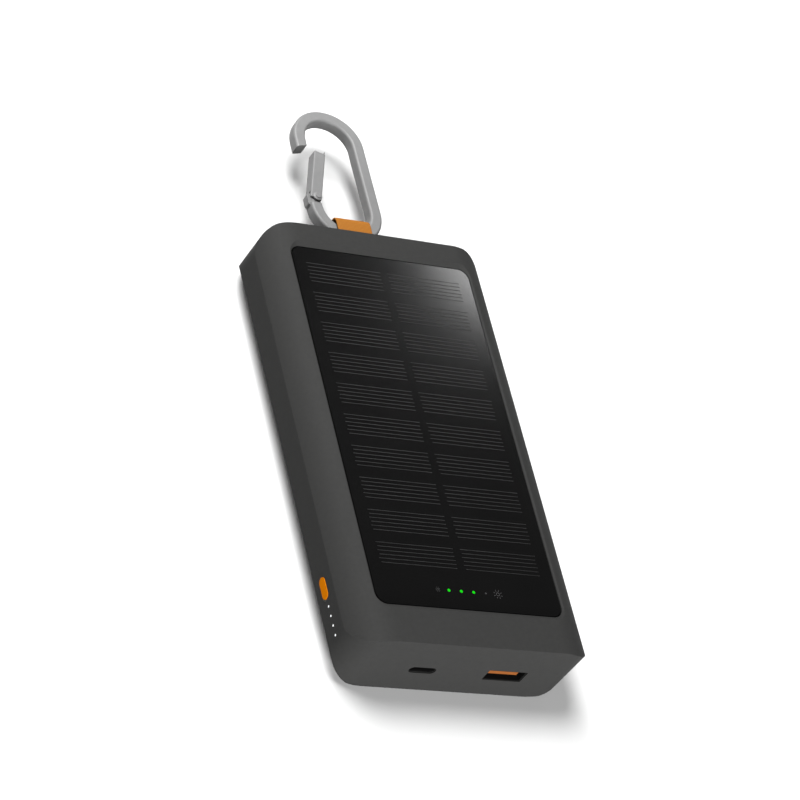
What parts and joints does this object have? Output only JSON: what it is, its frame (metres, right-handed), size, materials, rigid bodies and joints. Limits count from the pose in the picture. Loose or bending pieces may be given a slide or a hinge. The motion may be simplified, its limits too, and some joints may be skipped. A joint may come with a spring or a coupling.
{
  "type": "solar phone charger",
  "caption": "Pocket power bank with a solar panel on its front, USB-A and USB-C sockets in one end, and a snap-hook clip on a short strap at the other.",
  "frame": {"origin": "centre of the flat back face", "axes": "+Z out of the solar panel, +Y along the charger towards the carabiner, ports in the -Y end"},
  "size_m": [0.0802, 0.2024, 0.0248],
  "materials": {
    "housing": "fine matt, slight sheen",
    "steel": "satin",
    "black_rubber": "matt",
    "solar_film": "satin black film",
    "silicon": "dark silicon",
    "board": "solder mask",
    "foam_tape": "foam",
    "orange_plastic": "satin",
    "black_plastic": "satin",
    "cream_plastic": "satin",
    "green_lens": "lit lens",
    "led_chip": "resin",
    "clear_lens": "frosted",
    "pouch_foil": "foil laminate",
    "tab_metal": "nickel",
    "black_insulation": "satin",
    "red_insulation": "satin",
    "orange_strap": "woven strap",
    "carabiner_metal": "satin anodised"
  },
  "bodies": {
    "housing": {"battery_cell_lower": "pouch_foil", "battery_cell_upper": "pouch_foil", "battery_lead_black": "black_insulation", "battery_lead_red": "red_insulation", "battery_pads": "foam_tape", "battery_tabs": "tab_metal", "board_capacitors": "cream_plastic", "boost_controller": "black_plastic", "case_screws": "steel", "charge_controller": "black_plastic", "front_cover": "housing", "indicator_leds": "led_chip", "indicator_lenses": "green_lens", "lead_sockets": "cream_plastic", "level_leds": "led_chip", "level_light_guide": "clear_lens", "main_board": "board", "panel_tape": "foam_tape", "power_inductor": "black_plastic", "protection_board": "board", "rear_cover": "housing", "screw_plugs": "black_rubber", "solar_backing_board": "board", "solar_cells": "silicon", "solar_lead_black": "black_insulation", "solar_lead_red": "red_insulation", "solar_window": "solar_film", "strap_anchor_pin": "steel", "strap_root": "orange_strap", "switch_case": "black_plastic", "usb_a_shell": "steel", "usb_a_tongue": "orange_plastic", "usb_c_shell": "steel", "usb_c_tongue": "black_plastic"},
    "button": {"power_button": "orange_plastic", "switch_plunger": "cream_plastic"},
    "strap": {"strap_loop": "orange_strap"},
    "carabiner": {"carabiner_body": "carabiner_metal", "gate_rivet": "steel"},
    "gate": {"carabiner_gate": "carabiner_metal", "gate_spring": "steel"}
  },
  "joints": [
    {"name": "button_press", "type": "slide", "parent": "housing", "child": "button", "axis": [1, 0, 0], "range_m": [0, 0.0005], "stiffness_N_per_m": 3000, "springref_m": -0.0003},
    {"name": "strap_flex", "type": "hinge", "parent": "housing", "child": "strap", "pos_m": [-0.0003, 0.0759, 0.0124], "axis": [1, 0, 0], "range_deg": [-65, 65], "stiffness_Nm_per_rad": 0.05},
    {"name": "carabiner_turn", "type": "hinge", "parent": "strap", "child": "carabiner", "pos_m": [-0.0004, 0.0908, 0.0124], "axis": [0, 0, 1], "range_deg": [-38, 38]},
    {"name": "gate_swing", "type": "hinge", "parent": "carabiner", "child": "gate", "pos_m": [-0.0101, 0.094, 0.0124], "axis": [0, 0, 1], "range_deg": [-16, 16.6], "stiffness_Nm_per_rad": 0.03, "springref_deg": 16.6}
  ]
}
